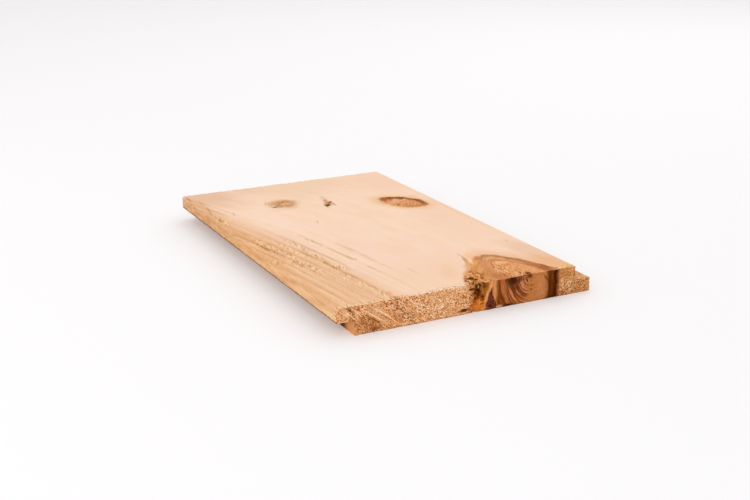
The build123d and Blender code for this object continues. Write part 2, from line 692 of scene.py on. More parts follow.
# Tears along the left growth lines, dark and light
tornBlots = (
    (-85.2, -8.5, 1.2, 3.6, 0.3, (180, 122, 62), 0.75),
    (-84.2, -15, 1.1, 4.6, 0, (176, 128, 70), 0.7),
    (-85.4, -2, 1.1, 4, 0, (196, 144, 92), 0.6),
    (-88.6, -2, 1.4, 9, 0, (252, 196, 146), 0.55),
    (-81.4, 6, 0.8, 2.4, 0.3, (188, 138, 90), 0.65),
    (-79, -6.2, 1.2, 2, 0, (200, 146, 100), 0.65),
    (-73.6, 7.6, 1.4, 4.6, 0, (216, 180, 142), 0.6),
    (-67.8, -12.5, 0.8, 3, 0.35, (255, 216, 172), 0.7),
    (-62, -10, 0.9, 5, 0.25, (212, 160, 124), 0.65),
    (-62.4, -20, 0.8, 4, 0.4, (255, 218, 172), 0.85),
    (-62.2, -23, 0.8, 2.2, 0.5, (196, 144, 94), 0.65),
    (-74, -31, 1, 3.6, 0.15, (208, 142, 94), 0.65),
    (-77.6, -58, 1.1, 5, 0.1, (194, 140, 88), 0.65),
    (-75, -71.5, 1, 4, 0, (198, 148, 96), 0.6),
    (-73, -65, 0.9, 3, 0.4, (255, 214, 168), 0.65),
    (-60.6, -70, 0.9, 6.5, 0, (194, 142, 98), 0.65),
    (-57.2, -72.4, 1.1, 2.8, 0, (196, 146, 98), 0.6),
    (-59.2, -84, 0.9, 5, 0, (194, 142, 94), 0.6),
    (-63.2, -92.8, 0.8, 3.4, 0.5, (255, 214, 180), 0.65),
    (-59.4, -106.4, 0.7, 3.6, 0.5, (255, 214, 170), 0.65),
    (-54.4, -123, 1.6, 4, 0.2, (250, 204, 148), 0.55),
    (-52, -131.5, 2.6, 6, 0.1, (228, 166, 126), 0.6),
    (-51.6, -138.5, 3, 2.6, 0.1, (206, 134, 90), 0.7),
    (74, -137, 6, 4, 0, (242, 182, 114), 0.8),
)

greyKnotBlots = (
    (-36, 99, 6, 5, 0, (250, 210, 164), 0.6),
    (-40, 70, 8, 5, 0, (248, 204, 182), 0.6),
    (-28, 73, 6, 6.5, 0.3, (230, 182, 140), 0.6),
    (-41.8, 91, 1.6, 5, 0.4, (208, 176, 142), 0.7),
    (-27.5, 89.5, 6, 4.6, 0, (196, 132, 80), 0.85),
    (-35.5, 88, 6, 4.6, 0, (198, 154, 112), 0.75),
    (-22.4, 87, 3.2, 4.2, 0.2, (208, 146, 110), 0.7),
    (-33.6, 84, 2.6, 5.5, 0.35, (186, 132, 86), 0.7),
    (-35.2, 78.5, 2.2, 4.5, 0.3, (190, 136, 90), 0.7),
    (-29, 78, 6, 3.4, 0.2, (194, 136, 88), 0.75),
    (-39.7, 78.2, 2.4, 2.5, 0, (160, 110, 72), 0.95),
    (-27.4, 83.8, 4.6, 2.6, 0, (230, 170, 120), 0.75),
)

pinKnotBlots = (
    (3.6, 84, 2.6, 8, 0.15, (226, 190, 154), 0.65),
    (-1.6, 77, 1.6, 7, 0.25, (254, 206, 180), 0.7),
    (2.2, 76, 2.3, 6.6, 0.25, (200, 140, 98), 0.8),
    (0.4, 68, 4.2, 7, 0.3, (214, 152, 84), 0.75),
    (3.5, 71.8, 2, 3.2, 0.45, (134, 76, 16), 0.95),
    (4.2, 65.6, 1, 6.4, 0.1, (188, 136, 94), 0.75),
    (-3.4, 60, 1.2, 3.2, 0.3, (214, 178, 130), 0.7),
    (-1.2, 65.6, 2.7, 4, 0.25, (92, 46, 0), 1),
)

redKnotBlots = (
    (56.5, 69, 8, 5, 0, (254, 212, 162), 0.7),
    (67, 57, 5, 5.5, 0, (238, 198, 154), 0.6),
    (49, 50, 6, 5, 0.3, (244, 184, 138), 0.75),
    (43.5, 42.5, 3.6, 4.4, 0.3, (210, 162, 104), 0.75),
    (52, 38, 5, 4.6, 0.3, (204, 132, 80), 0.8),
    (59, 41, 4.6, 5, 0.4, (232, 152, 100), 0.75),
    (57, 32.5, 10, 4, 0, (194, 132, 72), 0.9),
    (46.4, 40, 1.7, 3.6, 0.45, (146, 108, 54), 0.85),
    (46, 57.5, 5.6, 6, 0.2, (184, 94, 58), 0.9),
    (45.3, 53.6, 1.1, 4.6, 0.45, (236, 162, 126), 0.7),
    (43.4, 60, 1.9, 4.4, 0.2, (156, 84, 40), 0.8),
    (50.2, 61, 2.8, 3.6, 0.2, (142, 66, 24), 0.9),
    (56.6, 57.6, 4.6, 4.4, -0.4, (118, 62, 14), 0.95),
    (62.2, 51.8, 2.8, 4.8, -0.3, (150, 88, 38), 0.85),
    (67.2, 46.5, 2.6, 5, -0.2, (150, 84, 32), 0.9),
    (67.9, 40, 2, 5, 0, (164, 88, 48), 0.85),
    (66.6, 33.5, 1.8, 4.4, 0.3, (190, 124, 80), 0.7),
)

# Colours of the knots on the planed faces
knotTones = {
    "greyKnot": tint(206, 152, 106),
    "greyKnotLight": tint(230, 182, 140),
    "greyFleckLight": tint(240, 188, 138),
    "greyFleckDark": tint(172, 118, 72),
    "redKnot": tint(216, 146, 94),
    "redKnotLight": tint(236, 174, 124),
    "redFleckLight": tint(248, 180, 130),
    "redFleckDark": tint(172, 98, 50),
    "redRim": tint(142, 78, 30),
    "redHalo": tint(240, 190, 140),
    "branch": tint(224, 154, 100),
    "branchLight": tint(253, 194, 138),
    "branchDark": tint(158, 92, 42),
    "branchBand": tint(206, 138, 92),
    "branchRim": tint(160, 98, 52),
    "branchRing": tint(188, 124, 78),
    "branchHalo": tint(240, 186, 140),
    "flame": tint(216, 146, 86),
    "flameLight": tint(246, 186, 124),
    "flameDark": tint(170, 100, 48),
}

branchBlots = (
    (29, -91, 3.4, 7, 0.2, (248, 194, 144), 0.65),
    (24.8, -88, 0.8, 6, 0, (206, 164, 116), 0.7),
    (22.8, -97, 1.5, 7, 0.32, (190, 128, 74), 0.75),
    (19, -106, 0.9, 6, 0.45, (214, 162, 104), 0.6),
    (25, -100.5, 1.5, 7, 0.4, (255, 212, 160), 0.85),
    (17, -110, 4, 6, 0.3, (228, 172, 112), 0.5),
    (1, -112, 7, 18, 0.4, (241, 200, 160), 0.5),
    (9, -122, 4.4, 3.6, 0.3, (250, 184, 128), 0.65),
    (31.6, -98, 3, 4.4, 0.4, (190, 118, 70), 0.8),
    (38.6, -97.4, 4.4, 2.6, 0, (184, 138, 90), 0.75),
    (27, -113, 3.4, 8, 0.1, (212, 142, 94), 0.65),
    (24, -127, 5, 10, 0.2, (198, 130, 76), 0.6),
    (27, -136, 9, 8, 0.1, (182, 104, 54), 0.6),
    (41, -112.5, 5.6, 3.6, -0.2, (250, 188, 132), 0.7),
    (50.4, -107.4, 2.2, 3.4, -0.4, (160, 112, 60), 0.75),
    (47.6, -110, 2.6, 2.2, -0.4, (190, 132, 78), 0.7),
    (54.4, -116, 3, 6, -0.4, (188, 118, 72), 0.7),
    (57.4, -126, 4, 8, -0.35, (180, 104, 54), 0.75),
    (60, -136, 4.4, 7, -0.2, (164, 88, 38), 0.75),
    (62.6, -131, 1.2, 5, -0.18, (138, 70, 22), 0.7),
    (7.3, -131, 2.4, 3.2, 0.2, (84, 40, 6), 0.95),
    (44.6, -138.6, 2.8, 4, 0.2, (112, 58, 6), 0.95),
    (41, -135, 0.9, 2.4, 0.3, (140, 84, 30), 0.8),
)


def woodFigure(place, x, y, z):  # distance from the pith with slow and fine wander, and the slow wander alone
    wander = (noise("wander", place) - 0.5) * 5.0
    waver = (noise("waver", place) - 0.5) * 1.6
    return trunkRadius(x, y, z) + wander * 0.4 + waver, wander


def growthShares(radius, y):
    # the strongest of the dark lines' bells, each fading along the board as a bell too, and of the
    # light early wood beside them
    dark, light = 0.0, 0.0
    for lineRadius, strength, halfWidth, middle, reach in growthLines:
        clear = bell(y, middle, reach) * strength
        dark = larger(bell(radius, lineRadius, halfWidth) * clear, dark)
        light = larger(bell(radius, lineRadius + 1.9, 1.1) * clear, light)
    return dark, light


def tornShare(x, y):  # the strongest of the torn patches, each an oval with a soft edge
    share = 0.0
    for patch in tornPatches:
        share = larger(fall(0.2, 1.3, oval(x, y, *patch)), share)
    return share


def flecked(wood, fleck, light, dark, share):  # light where the noise is high and dark where it is low
    wood = blend(wood, light, rise(0.52, 0.62, fleck) * share)
    return blend(wood, dark, fall(0.38, 0.47, fleck) * share)


def plainWood(place, grain, x, y, z, fine):
    # sapwood that turns warm to the left, with growth lines and torn fibre on the face
    look = planed
    radius, wander = woodFigure(place, x, y, z)
    leftHalf = fall(*figure["leftHalf"], acrossPith(x, y))
    warmth = rise(*figure["warmYears"], radius + wander) * leftHalf
    patch = noise("patch", grain)
    cloud = noise("cloud", grain)
    streak = noise("streak", grain)
    onFace = rise(faceTop - 1.6, faceTop - 0.5, z)
    offFace = fall(faceTop - 1.6, faceTop - 0.5, z)
    edgeTone = blend(look["edge"], look["edgeFar"], rise(0.0, 110.0, y))
    edgeTone = blend(edgeTone, look["edgeNear"], fall(-120.0, -10.0, y))
    wood = blend(look["sapwood"], look["rosy"], rise(0.48, 0.66, patch) * 0.7)
    wood = blend(wood, look["tan"], rise(0.48, 0.64, cloud) * 0.6)
    wood = blend(wood, look["heartwood"], warmth)
    wood = addBlots(wood, x, y, (patch - 0.5) * 1.6 + (cloud - 0.5) * 0.8, broadTones, onFace)
    wood = flecked(wood, streak, look["streakLight"], look["streakDark"], warmth * onFace * 0.35)
    wood = blend(wood, edgeTone, offFace * 0.75)
    wood = flecked(wood, streak, look["edgeLight"], look["edgeDark"], offFace * 0.5)
    wood = brighten(wood, 0.95 + fine * 0.04 + cloud * 0.06)

    late = fall(0.05, 0.3, offLine(ringCount(radius))) * (0.03 + warmth * 0.12) * (1.0 - onFace * 0.6)
    breakUp = rise(0.36, 0.60, noise("breakUp", grain))
    dark, light = growthShares(radius, y)
    clear = leftHalf * onFace * (0.25 + breakUp * 0.75)
    wood = blend(wood, look["earlyWood"], light * clear * 0.7)
    wood = blend(wood, look["lateWood"], late + dark * clear)
    fibre = noise("fibre", vector(x - y * 0.25, y, z))  # torn a little across the grain
    torn = (tornShare(x, y) * 0.85 + warmth * 0.12 + light * 0.35 * clear) * onFace
    wood = flecked(wood, fibre, look["fibreLight"], look["fibreDark"], torn * 0.75)
    wood = addBlots(wood, x, y, (fibre - 0.5) * 1.2, tornBlots, onFace)

    # painted shade: a dark line along the lower arris of the upper lap, and the dark corner behind it in the
    # rebate
    frayed = z + (fibre - 0.5) * 2.0
    shadeLine = fall(lapBottom + 0.5, lapBottom + 1.6, frayed) * rise(lapBottom - 0.6, lapBottom, z)
    wood = blend(wood, look["underLapShade"], shadeLine * fall(leftSide + 0.6, leftSide + 2.0, x) * 0.8)
    atShoulder = rise(leftShoulder - 1.0, leftShoulder - 0.2, x)
    atShoulder = atShoulder * fall(leftShoulder + 0.2, leftShoulder + 0.6, x)
    inRebate = atShoulder * fall(lapBottom, lapBottom + 0.3, z)
    # painted light: the back shoulder in the rebate tinted a brighter orange, as if lit
    wood = blend(wood, look["shoulder"], inRebate * 0.8)
    # painted shade in the rebate's corner, darker further from the near end and up under the lap
    cornerShade = larger(rise(-134.0, -125.0, y), rise(7.4, 9.4, z) * 0.7)
    wood = blend(wood, look["underLapShade"], inRebate * cornerShade * 0.95)
    return wood, dark * clear * -0.7 + (fibre - 0.5) * torn


def planedPine():  # plain wood first, then each knot, the branch and the rough ends of the face laid over it
    look = knotTones
    material, shader = newMaterial("planedPine")
    place, x, y, z = boardPlace()
    grain = vector(acrossPith(x, y), y, z)  # so that streaks run with the grain
    fine = noise("fine", grain)
    wood, height = plainWood(place, grain, x, y, z, fine)
    onFace = rise(faceTop - 6.0, faceTop - 4.5, z)
    mottle = noise("mottle", place)
    ragged = (mottle - 0.5) * 1.5
    fleck = noise("fleck", vector(x - y * 0.3, y, z))
    wood = addBlots(wood, x, y, ragged, sapFlecks, onFace)

    # the soft grey knot and the pin knot beside it
    grey = knotRadius(knots["grey"], x, y, z)
    greyTone = blend(look["greyKnotLight"], look["greyKnot"], rise(0.38, 0.62, mottle))
    wood = blend(wood, greyTone, fall(0.55, 1.30, grey + ragged * 0.4) * 0.75)
    wood = addBlots(wood, x, y, ragged, greyKnotBlots, onFace)
    wood = flecked(wood, fleck, look["greyFleckLight"], look["greyFleckDark"], fall(0.6, 1.15, grey) * 0.55)
    wood = addBlots(wood, x, y, ragged * 0.6, pinKnotBlots, onFace)

    # the red knot, with its dark rim on the far right side
    red = knotRadius(knots["red"], x, y, z) + ragged * 0.08
    redTone = blend(look["redKnot"], look["redKnotLight"], rise(0.42, 0.62, mottle))
    wood = blend(wood, look["redHalo"], fall(0.95, 1.75, red) * 0.8)
    wood = blend(wood, redTone, fall(0.78, 1.16, red))
    rimShare = rise(0.62, 0.88, red) * fall(0.96, 1.18, red) * rise(-6.0, 4.0, redSide(x, y))
    wood = blend(wood, look["redRim"], rimShare * 0.85)
    wood = addBlots(wood, x, y, ragged, redKnotBlots, onFace)
    wood = flecked(wood, fleck, look["redFleckLight"], look["redFleckDark"], fall(0.5, 0.9, red) * 0.5)

    wood, inBranch = branchFace(wood, place, x, y, z, ragged, fleck, onFace)

    # torn fringe along the near end, and the top of the lower lap there: rough, and darker as painted shade
    # where the shoulder shades it
    chips = noise("chips", place)
    fringe = fall(0.5, 6.5, y - nearEnd + (mottle - 0.5) * 14.0) * onFace * (1.0 - inBranch)
    wood = flecked(wood, chips, planed["fibreLight"], planed["fibreDark"], fringe * 0.85)
    onLap = rise(rightShoulder + 0.1, rightShoulder + 0.5, x) * rise(lapTop - 0.6, lapTop - 0.2, z)
    nearLap = onLap * fall(*planed["roughShadedLap"], y)
    # painted shade and rough fibre: the lower lap's top darker near the end
    wood = blend(wood, planed["lapTop"], nearLap * 0.8)
    wood = flecked(wood, chips, planed["edgeLight"], planed["fibreDark"], nearLap * 0.7)

    plug(shader.inputs["Base Color"], wood)
    plug(shader.inputs["Roughness"], planed["roughness"] + fine * 0.12)
    shader.inputs["Specular IOR Level"].default_value = planed["specular"]
    bumped(shader, fine * 0.3 + height, planed["bumpHeight"], 0.6)
    return material


# Crumbled bark beside the branch, on the face and on the near end
barkTones = {
    "torn": tint(184, 110, 54),
    "crumb": tint(250, 186, 120),
    "endCrumb": tint(184, 110, 40),
    "brown": tint(132, 64, 6),
    "hollow": tint(76, 28, 0),
    "facePatch": (6.6, -133.0, 9.4, 15.4, 0.35),  # across, along, half width, half length and lean
}


def crumbledBark(wood, place, share, crumb):
    # light crumbs and brown hollows from one noise in space, so that they meet at the arris
    clump = noise("clump", place)
    wood = blend(wood, barkTones[crumb], rise(0.51, 0.58, clump) * share * 0.75)
    wood = blend(wood, barkTones["brown"], fall(0.44, 0.51, clump) * share * 0.9)
    return blend(wood, barkTones["hollow"], fall(0.40, 0.46, clump) * share)


def branchFace(wood, place, x, y, z, ragged, fleck, onFace):
    # curly grain and torn bark left of the branch, then the branch: a light core with flecks inside a
    # soft ring, and a reddish band with a thin dark rim round it
    look = knotTones
    curl = noise("curl", place) - 0.5
    rim = branchRim(x + curl * 2.5, y + curl * 4.0, z)
    inset = x - crotchEdge(y, z) + curl * 5.0
    strands = noise("strands", vector(inset, y, z))
    flame = rise(-2.5, 4.0, inset) * fall(*crotch["curlyTo"], x) * fall(*crotch["curlyAlong"], y)
    flameTone = blend(look["flame"], look["flameLight"], rise(0.51, 0.63, strands) * 0.5)
    darkStrands = fall(0.36, 0.47, strands) * (0.25 + fall(-128.0, -112.0, y) * 0.45)
    flameTone = blend(flameTone, look["flameDark"], darkStrands)
    wood = blend(wood, look["branchHalo"], fall(1.0, 1.5, rim) * 0.75)
    wood = blend(wood, flameTone, flame)
    barkZone = fall(0.5, 1.25, oval(x, y, *barkTones["facePatch"])) * rise(-0.5, 2.0, inset)
    wood = blend(wood, barkTones["torn"], barkZone * 0.85)
    wood = crumbledBark(wood, place, barkZone * onFace, "crumb")

    streak = noise("branchStreak", vector(rim * 27.0, x - y * 0.2, 0.0))
    toRight = rise(26.0, 38.0, x)
    inCore = fall(0.66, 0.82, rim)
    outer = rise(0.68, 0.80, rim) * (0.25 + toRight * 0.75)
    rough = inCore * (0.2 + bell(x, 33.5, 8.0) * 0.7)  # the flecks are clearest left of the middle
    tone = blend(look["branch"], look["branchLight"], rise(0.51, 0.61, fleck) * (rough * 0.5 + inCore * 0.3))
    tone = blend(tone, look["branchDark"], fall(0.38, 0.47, fleck) * rough)
    tone = blend(tone, look["branchBand"], outer * 0.8)
    tone = blend(tone, look["branchLight"], rise(0.53, 0.62, streak) * outer * 0.5)
    tone = blend(tone, look["branchRim"], fall(0.38, 0.47, streak) * outer * 0.5)
    tone = blend(tone, look["branchRing"], bell(rim, 0.74, 0.04) * toRight * 0.7)
    inBranch = fall(0.96, 1.06, rim)
    wood = blend(wood, tone, inBranch)
    wood = blend(wood, look["branchRim"], bell(rim, 0.975, 0.045) * toRight * (0.3 + fleck * 0.6))
    wood = addBlots(wood, x, y, ragged * 0.6, branchBlots, onFace)
    return wood, inBranch


# The two sawn ends, where the light years stand out on torn brown fibre
sawn = {
    "light": tint(255, 220, 186),
    "middle": tint(230, 158, 98),
    "dark": tint(138, 64, 10),
    "lightYear": tint(255, 212, 172),
    "lateYear": tint(158, 88, 40),
    "branchDark": tint(58, 12, 0),
    "branchPale": tint(214, 140, 98),
    "wedge": tint(84, 26, 14),
    "wedgeLight": tint(150, 84, 62),
    "wedgeDark": tint(54, 20, 6),
    "resin": tint(214, 120, 44),
    "resinLight": tint(240, 152, 76),
    "resinDark": tint(146, 62, 8),
    # painted shadow along the foot of the near end
    "footShade": tint(140, 92, 58),
    "calmYears": (-63.0, 10.0, 6.0, 7.0, -0.8),  # an oval of pale years with fewer specks
    "lift": 1.09,  # the ends stand in less light than the face
    "roughness": 0.72,
    "specular": 0.01,
    "bumpHeight": 0.5,
}

# Years that show as lines on the near end: across, up, half width, half height, lean, colour and share
yearLines = (
    (-83.2, 16.6, 0.9, 2.4, -0.9, (112, 54, 14), 0.9),
    (-83.7, 13.8, 0.8, 3.6, -1, (255, 208, 166), 0.9),
    (-82, 11.4, 0.8, 2.4, -1, (142, 78, 32), 0.8),
    (-79, 15.1, 0.7, 3, -1.1, (255, 208, 168), 0.95),
    (-77, 16.4, 1, 1.2, -0.6, (138, 66, 34), 0.75),
    (-74.6, 15.6, 1, 1.4, -1, (250, 196, 166), 0.7),
    (-67.2, 8.2, 0.7, 4.4, -1.4, (132, 68, 24), 0.9),
    (-66, 9.7, 1, 4.8, -1.4, (255, 204, 156), 0.95),
    (-58, 4.4, 0.8, 1.9, -1.8, (248, 196, 146), 0.8),
    (-63.4, 13.1, 1, 2.8, -1.5, (255, 206, 160), 0.9),
    (-58.8, 8.2, 0.7, 3, -1.5, (140, 76, 32), 0.85),
    (-58, 9.1, 0.9, 3.2, -1.2, (255, 204, 156), 0.95),
    (-53.6, 5.2, 0.7, 2.3, -1.1, (248, 192, 142), 0.75),
    (-50.5, 10, 0.6, 2.4, -1, (248, 190, 144), 0.75),
    (-44.7, 11.3, 0.6, 3, -0.8, (255, 206, 158), 0.8),
    (-40.4, 14.4, 0.8, 3, -1.2, (255, 206, 178), 0.8),
    (-36, 10, 0.6, 2.4, -1, (255, 198, 160), 0.65),
    (-21.6, 12.6, 0.8, 1.6, -1.3, (255, 216, 176), 0.7),
)

# Broad tones of the near end: across, up, half width, half height, lean, colour and share
endTones = (
    (-87, 14.5, 6, 5, -0.6, (230, 170, 118), 0.7),
    (-80.5, 16.5, 5, 2.4, -0.8, (176, 106, 62), 0.65),
    (-72, 6, 8, 6.5, -0.5, (184, 114, 58), 0.85),
    (-66, 1.8, 4, 1.8, -0.8, (122, 64, 18), 0.8),
    (-65, 13, 7, 5, -0.8, (228, 172, 124), 0.8),
    (-59, 6, 4, 4, -0.8, (224, 162, 108), 0.6),
    (-50, 11, 6, 9, -0.5, (190, 118, 66), 0.85),
    (-50.5, 17.5, 2.4, 1.8, 0, (146, 76, 28), 0.75),
    (-42, 5, 6, 5, -0.5, (198, 138, 76), 0.7),
    (-24, 9, 18, 12, -0.5, (228, 168, 114), 0.6),
    (-6, 17, 5, 3, 0, (236, 184, 138), 0.8),
    (82, 5, 18, 10, 0.3, (195, 131, 72), 0.95),
    (71, 15, 6, 6, 0, (190, 122, 64), 0.85),
    (70, 2, 3.4, 2.4, -0.4, (184, 104, 54), 0.7),
)

# Tones across the branch on the near end, each with its distance across the board
branchTones = (
    (-1.5, (214, 155, 105)),  # plain wood
    (1.2, (180, 114, 60)),
    (3.2, (114, 54, 2)),  # bark
    (6.8, (104, 46, 0)),
    (9.2, (126, 66, 14)),
    (12, (146, 76, 14)),
    (14, (182, 108, 48)),
    (15.9, (240, 164, 104)),  # pale strips at both sides of the wedge
    (17.2, (196, 122, 72)),
    (18.8, (224, 150, 94)),
    (20, (168, 98, 48)),
    (21.5, (118, 54, 6)),  # the branch's near rim
    (24.5, (186, 102, 51)),
    (38, (174, 96, 46)),
    (46, (192, 120, 64)),
    (56.5, (194, 122, 72)),
    (60, (90, 36, 1)),  # its far rim
    (62, (104, 50, 12)),
    (65, (64, 15, 0)),
    (68.6, (184, 114, 60)),
)

endBlots = (  # across, up, half width, half height, lean, colour and share
    (31.5, 17, 5.6, 3.4, -0.2, (62, 18, 6), 0.95),
    (33, 12.5, 4.6, 4.4, -0.5, (88, 34, 8), 0.7),
    (37.6, 17.2, 4, 2.8, -0.2, (96, 42, 16), 0.7),
    (29.6, 15, 1.8, 2.4, 0, (74, 48, 18), 0.75),
    (23.6, 17, 2.2, 2.6, 0, (186, 90, 40), 0.8),
    (24, 4.5, 2.6, 5, -0.3, (116, 50, 4), 0.8),
    (44.6, 17.8, 3, 2.8, 0, (104, 46, 0), 0.95),
    (45.9, 8.5, 0.9, 0.9, 0, (106, 52, 8), 0.85),
    (45.4, 14.4, 0.7, 1.1, -0.3, (128, 70, 18), 0.75),
    (46.4, 11.2, 0.6, 1.1, -0.3, (134, 74, 26), 0.75),
    (53, 7, 3.4, 6, 0, (202, 132, 84), 0.6),
    (45, 3, 5, 2.2, 0, (204, 128, 64), 0.6),
    (57.2, 14.4, 0.9, 2.6, -0.6, (128, 60, 4), 0.85),
    (58.2, 7.5, 0.8, 4, 0, (172, 116, 80), 0.7),
    (59.4, 17.6, 1.6, 2.2, 0, (116, 46, 6), 0.8),
    (62.2, 15.4, 0.6, 3.6, 0, (120, 74, 50), 0.7),
    (9.2, 15, 0.8, 4, 0, (160, 110, 66), 0.7),
    (6.5, 17.4, 0.5, 2.2, 0.25, (224, 182, 132), 0.9),
    (7.4, 12.2, 1.8, 2.6, 0, (66, 24, 4), 0.85),
    (4.6, 17.4, 0.9, 2, 0, (70, 32, 4), 0.85),
    (10, 8.4, 0.8, 2.4, 0.2, (116, 48, 4), 0.85),
    (-4.4, 2.7, 4.6, 1.3, 1.5, (84, 42, 2), 0.95),
    (1, 15.7, 3, 1, 0, (84, 36, 0), 0.95),
    (0.1, 18.2, 1, 1.6, 0, (84, 36, 0), 0.95),
    # painted shadow along the foot of the near end under the branch
    (29, 0.5, 5, 1.3, 0, (44, 16, 2), 0.95),
    (61, 0.4, 6, 1.6, 0, (56, 10, 2), 0.8),
    (21.8, 0.9, 2.4, 1.1, 0.3, (224, 184, 142), 0.85),
    (5.6, 0.2, 6, 1, 0, (212, 148, 82), 0.75),
    (66.4, 16.8, 1, 1.5, 0, (112, 54, 8), 0.85),
)


# Where things lie on the near end: a pair is a soft edge, and an oval is as in the blots
endPlaces = {
    "ringsFrom": (21.0, 24.5),
    "ringsTo": (41.0, 47.0),
    "wedgeAcross": 15.8,
    "wedgeTop": 15.4,
    "wedgeSpread": 0.30,  # half width for each millimetre below its top
    "resin": (5.6, 3.4, 5.8, 5.4, 0.1),
    "barkFrom": (-1.0, 2.5),
    "barkTo": (9.5, 12.5),
    "barkFoot": (6.5, 9.5),
    "branchFrom": (-0.8, 3.2),
    "branchTo": (66.6, 69.5),
}

endChips = (  # dark chips left of the branch: across, up, half width, half height, lean and where it is full
    (-4.4, 2.7, 4.4, 1.3, 1.5, 0.6),
    (1, 15.7, 2.8, 0.9, 0, 0.5),
    (0.1, 18.2, 0.9, 1.4, 0, 0.5),
)


def sawnFibre(place, x, y, z, nearHalf):
    # broad tones, torn fibre that lies along the rings, and the years: single lines on the near end and
    # whole rings on the far one
    look = sawn
    farHalf = 1.0 - nearHalf
    radius, _ = woodFigure(place, x, y, z)
    turn = mathNode("ARCTAN2", acrossPith(x, y), faceTop + figure["pithAbove"] - z) * 100.0
    speck = noise("speck", vector(radius, turn, y))
    grit = noise("grit", place)
    patch = noise("endPatch", place)
    texture = speck * 0.6 + grit * 0.4
    level = texture + (patch - 0.5) * 0.12
    wood = addBlots(look["middle"], x, z, (patch - 0.5) * 1.6, endTones, nearHalf)
    offYear = offLine(ringCount(radius))
    years = fall(0.04, 0.12, offYear) * rise(0.40, 0.60, patch)
    wood = blend(wood, look["lightYear"], years * 0.3 * nearHalf)
    plainCorner = bell(x, 70.5, 4.5) * rise(8.0, 13.0, z)
    busy = (0.6 + rise(0.42, 0.58, patch) * 0.4) * (1.0 - plainCorner * 0.75)
    calm = fall(0.4, 1.2, oval(x, z, *look["calmYears"])) * nearHalf
    darkShare = (0.95 - bell(x, -22.0, 20.0) * 0.3) * (1.0 - calm * 0.5 - farHalf * 0.3)
    wood = blend(wood, look["dark"], fall(0.41, 0.49, level) * darkShare * busy)
    lightShare = 0.44 + bell(x, -26.0, 22.0) * 0.3
    wood = blend(wood, look["light"], rise(0.51, 0.60, level) * lightShare * busy)
    wood = addBlots(wood, x, z, (grit - 0.5) * 1.3, yearLines, nearHalf)
    late = rise(0.10, 0.20, offYear) * fall(0.24, 0.40, offYear)
    wood = blend(wood, look["lateYear"], late * farHalf * 0.55)
    wood = blend(wood, look["lightYear"], years * farHalf * 0.6)
    wood = brighten(wood, 0.82 + rise(0.36, 0.64, grit) * 0.38)
    return wood, texture, grit


def sawnEnds():  # sawn fibre on both ends, and the cut branch with its bark laid over the near one
    look, places = sawn, endPlaces
    material, shader = newMaterial("sawnEnds")
    place, x, y, z = boardPlace()
    nearHalf = fall(-60.0, -40.0, y)
    wood, texture, grit = sawnFibre(place, x, y, z, nearHalf)

    # across the branch: bark, torn fibre, rings round the branch's pith, and its dark far rim
    curl = noise("endCurl", place) - 0.5
    fray = noise("fray", place) - 0.5
    leftLean = larger(17.0 - z, 0.0) * (fall(15.0, 18.0, x) * 0.40)
    tone = colourRamp(x + leftLean + curl * 3.0 + fray * 2.0, branchTones)

    # thin lines that follow circles round the branch's pith
    side, height = x - knots["branch"]["pithAcross"], (z - faceTop + 0.6) * 0.87
    around = mathNode("ARCTAN2", height, side) * 10.0
    ringPlace = vector(root(side * side + height * height) + curl * 1.6, around, 0.0)
    arc = noise("arc", ringPlace)
    inRings = rise(*places["ringsFrom"], x) * fall(*places["ringsTo"], x + fray * 6.0)
    tone = blend(tone, look["branchPale"], rise(0.52, 0.60, arc) * inRings * 0.75)
    darkArcs = fall(0.40, 0.50, arc) * inRings
    tone = blend(tone, look["branchDark"], darkArcs * (0.6 + rise(6.0, 16.0, z) * 0.25))

    # the wedge of ingrown bark between the pale strips, and the resin under the crumbled bark
    wedge = larger(places["wedgeTop"] - z, 0.0) * places["wedgeSpread"]
    offWedge = unsigned(x - places["wedgeAcross"] + curl * 3.0 + fray * 1.5) - wedge
    inWedge = fall(-0.5, 0.6, offWedge) * rise(0.0, 0.6, wedge)
    tone = blend(tone, look["wedge"], inWedge * 0.9)
    bits = noise("bits", place)
    tone = flecked(tone, bits, look["wedgeLight"], look["wedgeDark"], inWedge * 0.65)
    resin = fall(0.4, 1.2, oval(x, z, *places["resin"]) + curl * 2.0 + fray * 0.8)
    tone = blend(tone, look["resin"], resin)
    tone = flecked(tone, bits, look["resinLight"], look["resinDark"], resin * rise(1.5, 6.0, z))

    barkZone = rise(*places["barkFrom"], x) * fall(*places["barkTo"], x) * rise(*places["barkFoot"], z)
    tone = crumbledBark(tone, place, barkZone * 0.85, "endCrumb")
    tone = addBlots(tone, x, z, curl * 1.0 + fray * 0.6, endBlots, 1.0)
    tone = brighten(tone, 1.02 + fray * 0.6 + (grit - 0.5) * 0.5)

    inBranch = rise(*places["branchFrom"], x + curl * 7.0 + fray * 5.0)
    inBranch = inBranch * fall(*places["branchTo"], x + curl * 4.0 + fray * 2.0)
    for *chip, full in endChips:
        inBranch = larger(fall(full, 1.3, oval(x, z, *chip) + curl), inBranch)
    wood = blend(wood, tone, inBranch * nearHalf)
    # painted shadow: the foot of the near end darkened along the floor
    wood = blend(wood, look["footShade"], fall(0.2, 1.0, z + fray * 1.5) * nearHalf * 0.5)
    wood = brighten(wood, look["lift"])

    plug(shader.inputs["Base Color"], wood)
    plug(shader.inputs["Roughness"], look["roughness"] + texture * 0.2)
    shader.inputs["Specular IOR Level"].default_value = look["specular"]
    bumped(shader, texture, look["bumpHeight"], 0.6)
    return material


board = makeBoard()
board.data.materials.append(planedPine())
board.data.materials.append(sawnEnds())
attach(board, "root")
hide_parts("shiplap_board")
print("board dressed")

